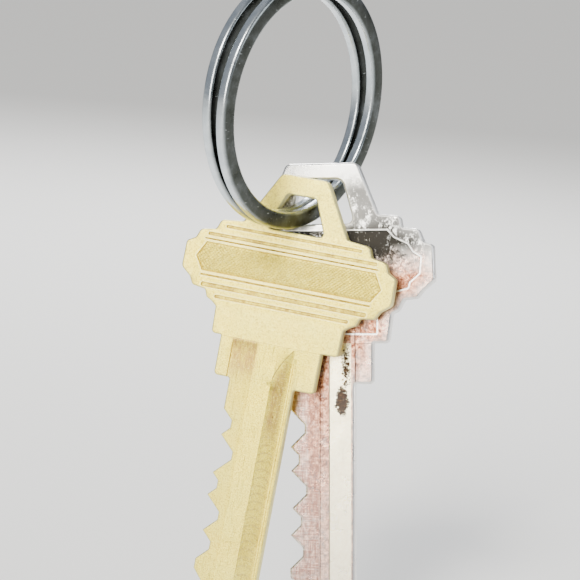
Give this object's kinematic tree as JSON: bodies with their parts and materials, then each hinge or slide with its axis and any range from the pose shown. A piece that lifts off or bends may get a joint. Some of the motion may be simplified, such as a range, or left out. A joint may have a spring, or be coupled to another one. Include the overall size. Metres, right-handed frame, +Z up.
{
  "type": "split key ring",
  "caption": "Split ring of flattened spring-steel wire coiled on itself, carrying a brass key and a nickel-plated key that travel round it.",
  "frame": {"origin": "centre of the ring's eye", "axes": "+Y along the ring's axis, away from the front; +Z up from the keys to the top of the ring; +X to the right seen from the front"},
  "size_m": [0.0318, 0.0289, 0.0815],
  "materials": {
    "spring_steel": "bright ground rims and duller grey flat faces, with fine nicks",
    "brass": "pale worn brass, satin, with brown stain in the recesses",
    "nickel": "worn nickel plate with dark grime and a warm tint in the recesses"
  },
  "bodies": {
    "ring": {"ring_wire": "spring_steel"},
    "back_end": {"ring_back_end": "spring_steel"},
    "front_end": {"ring_front_end": "spring_steel"},
    "brass_key": {"brass_key": "brass"},
    "nickel_key": {"nickel_key": "nickel"}
  },
  "joints": [
    {"name": "brass_key_travel", "type": "hinge", "parent": "ring", "child": "brass_key", "pos_m": [0, 0, 0], "axis": [0, 1, 0], "range_deg": [0, 75]},
    {"name": "nickel_key_travel", "type": "hinge", "parent": "ring", "child": "nickel_key", "pos_m": [0, 0, 0], "axis": [0, -1, 0], "range_deg": [0, 60]},
    {"name": "back_end_flex", "type": "hinge", "parent": "ring", "child": "back_end", "pos_m": [0.0148, 0.00112, 0], "axis": [-1, 0, 0], "range_deg": [0, 8], "stiffness_Nm_per_rad": 0.5},
    {"name": "front_end_flex", "type": "hinge", "parent": "ring", "child": "front_end", "pos_m": [-0.0148, -0.00112, 0], "axis": [1, 0, 0], "range_deg": [0, 8], "stiffness_Nm_per_rad": 0.5}
  ]
}
